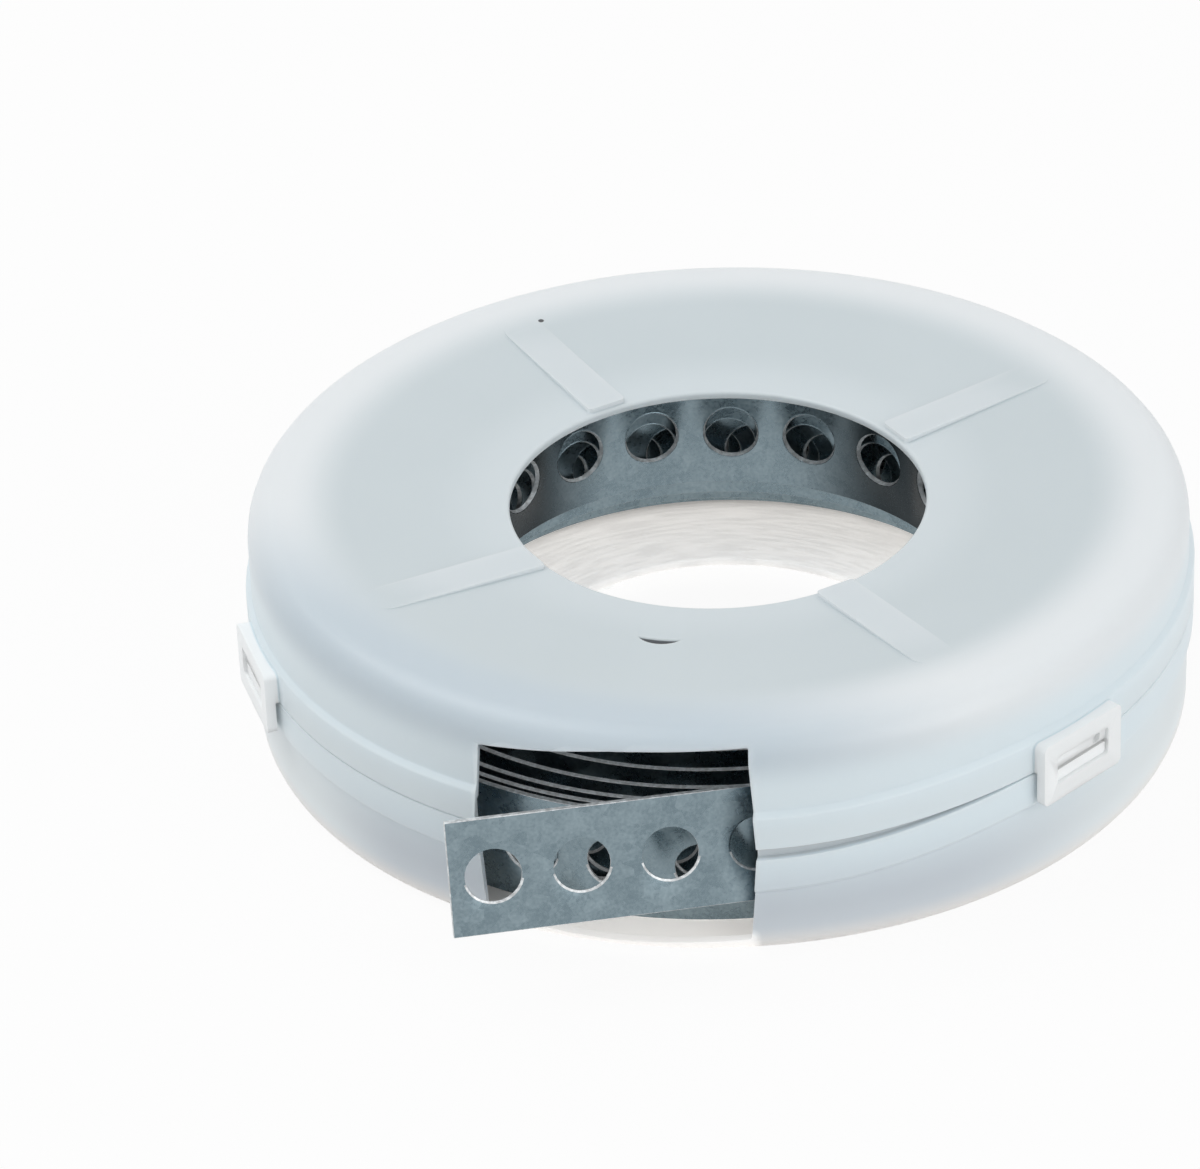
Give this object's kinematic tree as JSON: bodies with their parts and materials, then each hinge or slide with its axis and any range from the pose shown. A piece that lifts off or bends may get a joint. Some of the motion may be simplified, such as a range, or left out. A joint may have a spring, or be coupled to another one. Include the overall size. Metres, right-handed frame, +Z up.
{
  "type": "perforated steel strap coil in dispenser case",
  "caption": "Galvanised perforated steel strap coiled in a frosted ring-shaped dispenser case, with its free end out of a window.",
  "frame": {"origin": "on the axis of the case and the coil, at mid-height, where the two halves meet", "axes": "+Z up along the axis of the coil; the strap's free end runs along -X and faces -Y"},
  "size_m": [0.1368, 0.1348, 0.0344],
  "materials": {
    "frosted_plastic": "frosted translucent",
    "galvanised_steel": "dull zinc"
  },
  "bodies": {
    "root": {"upper_case_half": "frosted_plastic", "lower_case_half": "frosted_plastic", "perforated_strap": "galvanised_steel"}
  },
  "joints": []
}
